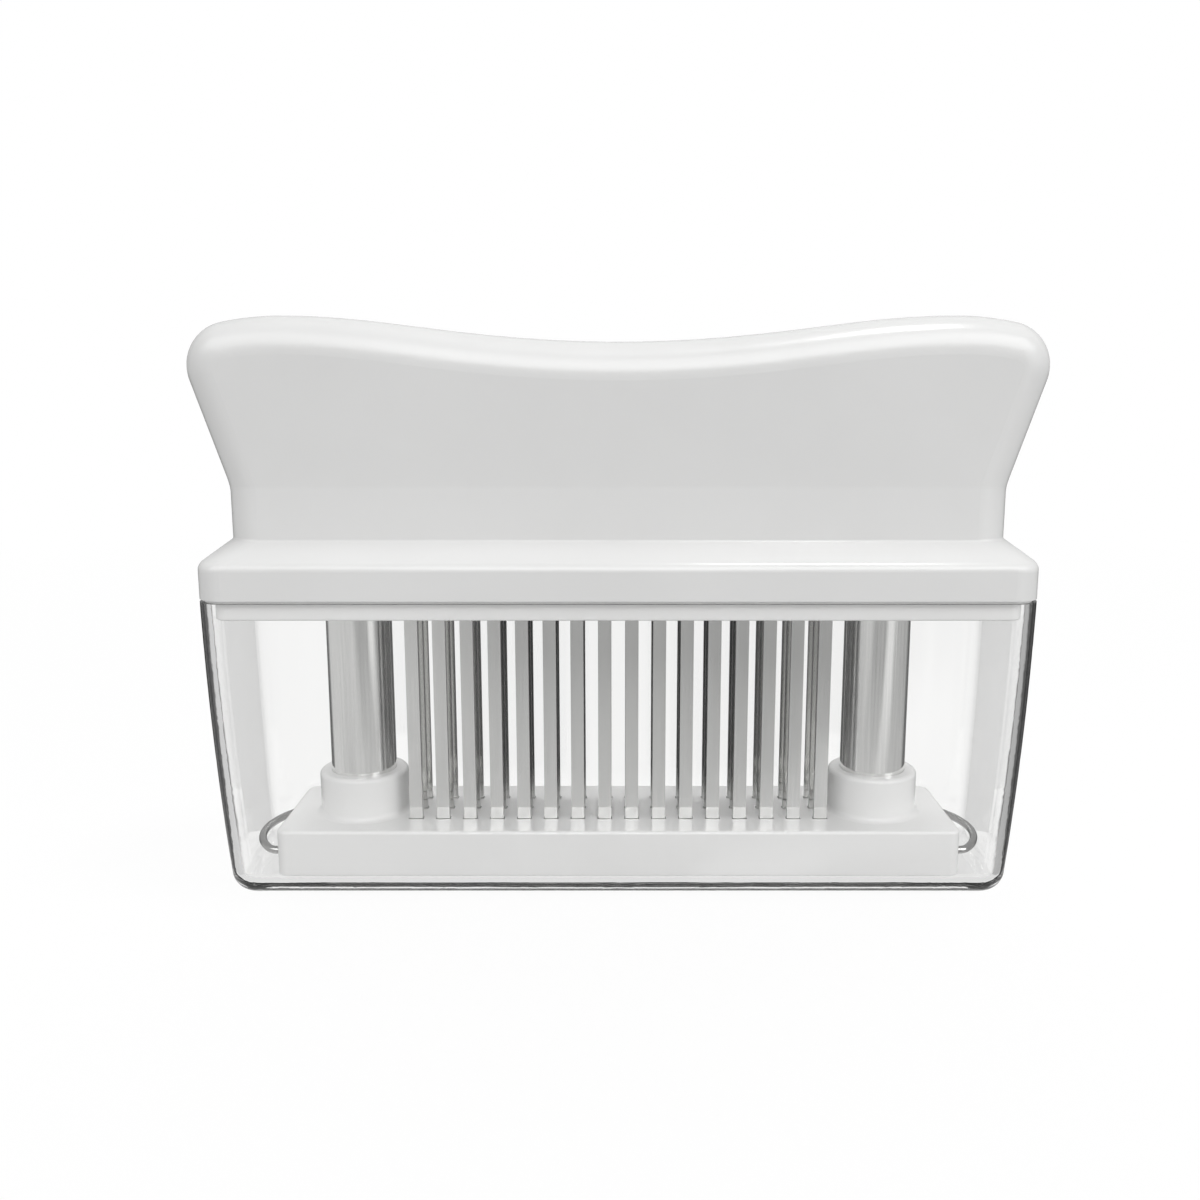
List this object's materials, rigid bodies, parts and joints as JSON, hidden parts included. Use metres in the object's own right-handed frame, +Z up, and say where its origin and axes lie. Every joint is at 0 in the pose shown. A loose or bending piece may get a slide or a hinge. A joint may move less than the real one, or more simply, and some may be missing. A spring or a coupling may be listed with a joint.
{
  "type": "blade meat tenderizer",
  "caption": "Hand-held blade tenderizer with a waisted grip, rows of thin flat blades and a sprung guard plate on polished columns, standing in a clear storage cover.",
  "frame": {"origin": "centre of the cover's underside, on the surface that it stands on", "axes": "+X along the grip, to the right as seen from the front; +Y from front to back; +Z up"},
  "size_m": [0.1482, 0.0348, 0.1028],
  "materials": {
    "white_plastic": "satin moulded white",
    "clear_plastic": "clear, polished",
    "polished_steel": "polished",
    "blade_steel": "ground",
    "spring_steel": "drawn wire",
    "natural_plastic": "matte moulded"
  },
  "bodies": {
    "cover": {"clear_cover": "clear_plastic"},
    "handle": {"backing_plate": "blade_steel", "blade_carrier": "white_plastic", "blade_cartridge_front": "white_plastic", "blade_cartridge_middle": "white_plastic", "blade_cartridge_rear": "white_plastic", "blades_front": "blade_steel", "blades_middle": "blade_steel", "blades_rear": "blade_steel", "carrier_screws": "spring_steel", "cartridge_pins": "spring_steel", "column_bush_left": "natural_plastic", "column_bush_right": "natural_plastic", "handle_grip": "white_plastic", "spring_guide_left": "natural_plastic", "spring_guide_right": "natural_plastic", "spring_left": "spring_steel", "spring_right": "spring_steel"},
    "guard": {"column_foot_left": "natural_plastic", "column_foot_right": "natural_plastic", "column_left": "polished_steel", "column_right": "polished_steel", "guard_plate": "white_plastic", "stop_ring_left": "spring_steel", "stop_ring_right": "spring_steel", "wire_clip_left": "polished_steel", "wire_clip_right": "polished_steel"}
  },
  "joints": [
    {"name": "lift_out", "type": "slide", "parent": "cover", "child": "handle", "axis": [0, 0, 1], "range_m": [0, 0.07]},
    {"name": "guard_slide", "type": "slide", "parent": "handle", "child": "guard", "axis": [0, 0, 1], "range_m": [0, 0.028], "stiffness_N_per_m": 1200, "springref_m": -0.01, "deforming": ["spring_left", "spring_right"]}
  ]
}
